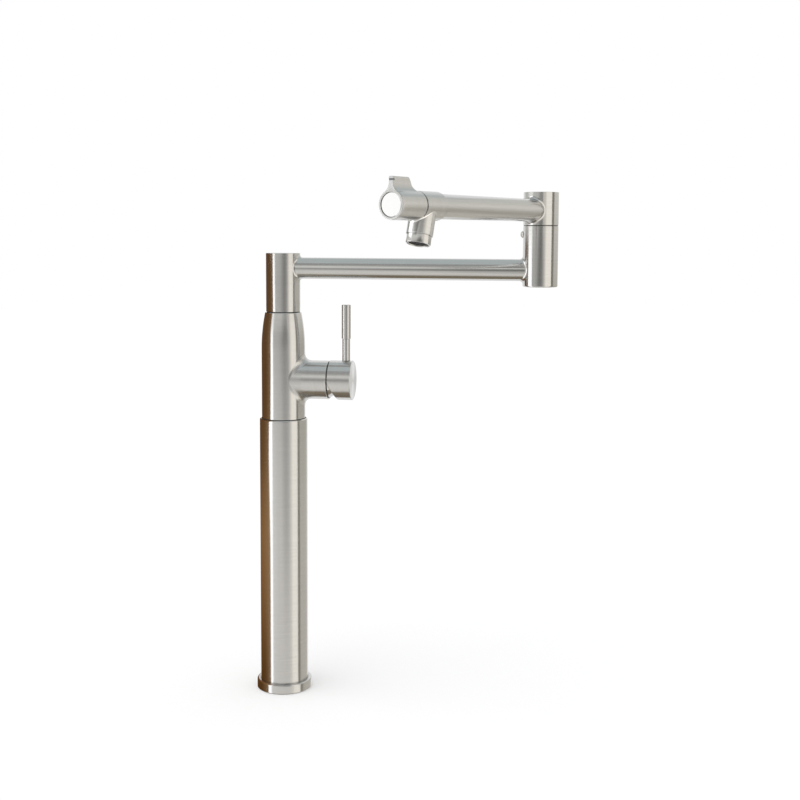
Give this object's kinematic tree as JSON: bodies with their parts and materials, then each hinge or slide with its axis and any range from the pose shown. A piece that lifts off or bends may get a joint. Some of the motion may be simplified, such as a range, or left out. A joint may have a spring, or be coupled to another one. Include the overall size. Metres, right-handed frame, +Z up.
{
  "type": "pillar mixer tap",
  "caption": "Deck-mounted pillar mixer tap in brushed stainless steel with a joystick side lever and a folding two-part spout that has its own valve handle at the tip.",
  "frame": {"origin": "column axis on the deck plane, at the gasket's underside", "axes": "+Z up along the column, +X along the lower arm and towards the mixing lever as drawn, +Y towards the wall"},
  "size_m": [0.3123, 0.2649, 0.6407],
  "materials": {
    "brushed_stainless": "fine brushed satin",
    "polished_stainless": "polished",
    "fixing_steel": "machined",
    "turned_brass": "turned, unplated",
    "copper_pipe": "drawn copper",
    "black_rubber": "matt",
    "acetal": "moulded",
    "dark_plastic": "moulded",
    "ceramic": "lapped"
  },
  "bodies": {
    "column": {"deck_gasket": "black_rubber", "base_ring": "brushed_stainless", "column_foot": "fixing_steel", "foot_grub_screws": "fixing_steel", "threaded_shank": "turned_brass", "worktop_washer": "black_rubber", "clamp_washer": "fixing_steel", "clamp_nut": "turned_brass", "jacking_screws": "fixing_steel", "column_tube": "brushed_stainless", "column_head": "fixing_steel", "body_screws": "fixing_steel", "hot_feed_pipe": "copper_pipe", "cold_feed_pipe": "copper_pipe", "feed_pipe_seals": "black_rubber", "mixer_body": "brushed_stainless", "cartridge_seal": "black_rubber", "cartridge_base": "acetal", "fixed_disc": "ceramic", "cartridge_case": "acetal", "cartridge_nut": "turned_brass", "cartridge_cover": "brushed_stainless", "pivot_spigot": "turned_brass", "pivot_seals": "black_rubber"},
    "lower_arm": {"pivot_sleeve": "brushed_stainless", "pivot_cap": "brushed_stainless", "pivot_lower_bush": "acetal", "pivot_upper_bush": "acetal", "pivot_screw": "fixing_steel", "lower_arm_tube": "brushed_stainless", "elbow_housing": "brushed_stainless", "elbow_lower_bush": "acetal", "elbow_upper_bush": "acetal", "elbow_screw": "fixing_steel"},
    "upper_arm": {"elbow_spindle": "turned_brass", "elbow_seals": "black_rubber", "elbow_head": "brushed_stainless", "elbow_cap": "brushed_stainless", "upper_arm_tube": "brushed_stainless", "valve_body": "brushed_stainless", "valve_seat_seal": "black_rubber", "valve_fixed_disc": "ceramic", "valve_cage": "turned_brass", "valve_spindle_seal": "black_rubber", "aerator_washer": "black_rubber", "aerator_housing": "brushed_stainless", "aerator_insert": "dark_plastic"},
    "spout_handle": {"valve_moving_disc": "ceramic", "valve_spindle": "fixing_steel", "handle_shell": "brushed_stainless", "handle_screw": "fixing_steel", "handle_cap": "polished_stainless"},
    "cartridge_turn": {"cartridge_carrier": "dark_plastic", "stem_pin": "fixing_steel"},
    "lever": {"lever_stem": "fixing_steel", "lever_hub": "brushed_stainless", "hub_set_screw": "fixing_steel", "lever_rod": "brushed_stainless"},
    "cartridge_slide": {"moving_disc": "ceramic", "disc_driver": "dark_plastic"}
  },
  "joints": [
    {"name": "spout_swing", "type": "hinge", "parent": "column", "child": "lower_arm", "pos_m": [0, 0, 0.4471], "axis": [0, 0, 1], "continuous": true},
    {"name": "spout_fold", "type": "hinge", "parent": "lower_arm", "child": "upper_arm", "pos_m": [0.2657, 0, 0.492], "axis": [0, 0, 1], "continuous": true},
    {"name": "spout_valve", "type": "hinge", "parent": "upper_arm", "child": "spout_handle", "pos_m": [0.2657, 0, 0.5067], "axis": [-0.4509, -0.8926, 0], "range_deg": [0, 90]},
    {"name": "lever_temperature", "type": "hinge", "parent": "column", "child": "cartridge_turn", "pos_m": [0.042, 0, 0.331], "axis": [1, 0, 0], "range_deg": [-45, 45]},
    {"name": "lever_flow", "type": "hinge", "parent": "cartridge_turn", "child": "lever", "pos_m": [0.042, 0, 0.331], "axis": [0, 1, 0], "range_deg": [0, 25]},
    {"name": "disc_travel", "type": "slide", "parent": "cartridge_turn", "child": "cartridge_slide", "axis": [0, 0, 1], "range_m": [0, 0.0055]}
  ],
  "couplings": [
    {"joint": "disc_travel", "follows": "lever_flow", "m_per_rad": 0.012591}
  ]
}
